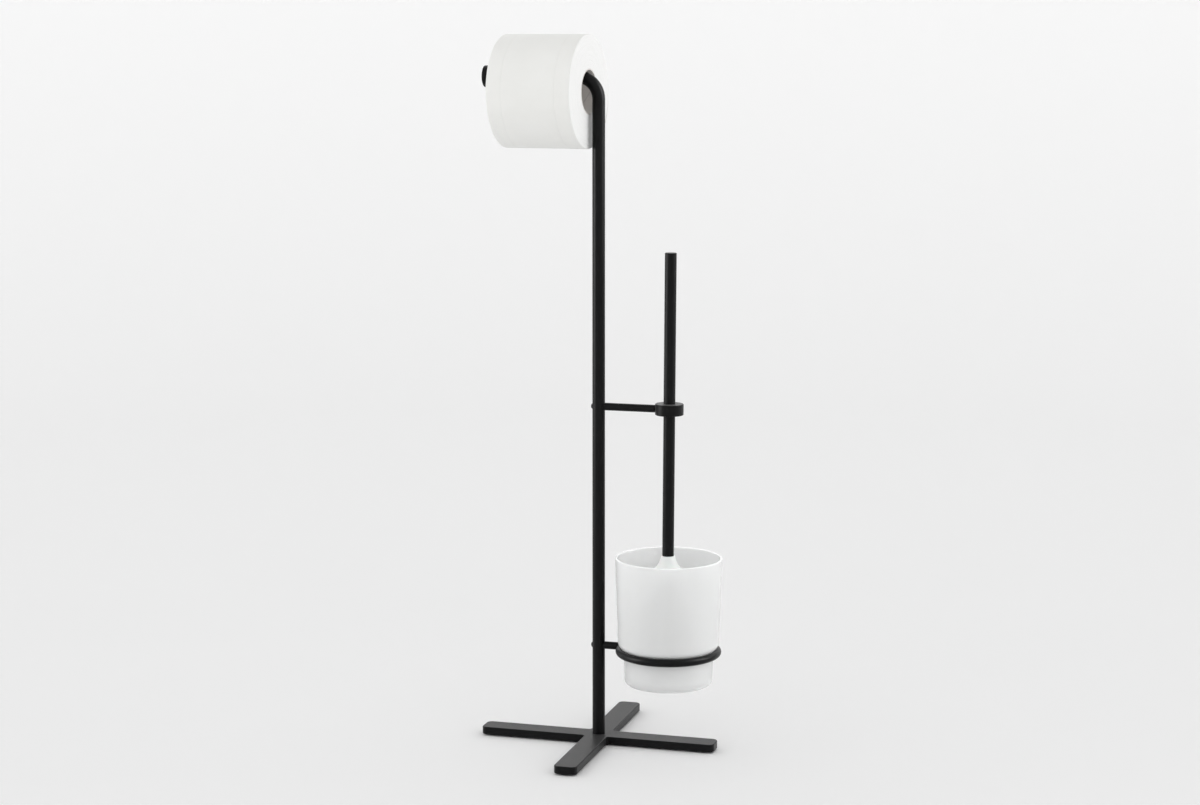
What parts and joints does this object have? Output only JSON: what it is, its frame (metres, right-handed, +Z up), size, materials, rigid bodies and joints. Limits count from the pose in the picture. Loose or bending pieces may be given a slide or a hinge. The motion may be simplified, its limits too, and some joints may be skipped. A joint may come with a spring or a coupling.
{
  "type": "toilet paper holder",
  "caption": "Free-standing steel stand with a bent arm for a toilet roll, a ring that holds a frosted glass cup, and a rod that the collar of the toilet brush hooks onto.",
  "frame": {"origin": "on the floor, under the axis of the pole, at the centre of the centre pad's lower face", "axes": "+Z up along the pole, +X from the pole to the cup, -X along the roll arm, +Y to the back"},
  "size_m": [0.2544, 0.25, 0.7291],
  "materials": {
    "black_coat": "fine satin powder coat",
    "black_screw": "satin black",
    "plain_steel": "zinc plated",
    "pad_rubber": "matte",
    "frosted_glass": "acid etched, frosted",
    "white_paper": "soft tissue with a fine emboss",
    "core_board": "grey-brown board",
    "white_plastic": "moulded",
    "white_bristle": "nylon bristles"
  },
  "bodies": {
    "stand": {"base_plate": "black_coat", "pole_tube": "black_coat", "end_disc": "black_coat", "upper_rod": "black_coat", "lower_rod": "black_coat", "cup_ring": "black_coat", "rod_screws": "black_screw", "pole_insert": "plain_steel", "arm_insert": "plain_steel", "pole_screw": "plain_steel", "foot_pad_left": "pad_rubber", "foot_pad_right": "pad_rubber", "foot_pad_front": "pad_rubber", "foot_pad_back": "pad_rubber", "centre_pad": "pad_rubber"},
    "roll": {"roll_core": "core_board", "paper_roll": "white_paper"},
    "cup": {"glass_cup": "frosted_glass"},
    "brush": {"brush_handle": "black_coat", "handle_collar": "black_coat", "handle_cap": "black_coat", "handle_insert": "plain_steel", "brush_stud": "plain_steel", "splash_bell": "white_plastic", "brush_core": "white_plastic", "bristle_tier_1": "white_bristle", "bristle_tier_2": "white_bristle", "bristle_tier_3": "white_bristle", "bristle_tier_4": "white_bristle"}
  },
  "joints": [
    {"name": "roll_spin", "type": "hinge", "parent": "stand", "child": "roll", "pos_m": [-0.0532, 0, 0.6719], "axis": [-0.9973, 0.0732, 0], "continuous": true},
    {"name": "cup_lift", "type": "slide", "parent": "stand", "child": "cup", "axis": [0, 0, 1], "range_m": [0, 0.045]},
    {"name": "brush_lift", "type": "slide", "parent": "cup", "child": "brush", "axis": [0.1392, 0, 0.9903], "range_m": [0, 0.15]}
  ]
}
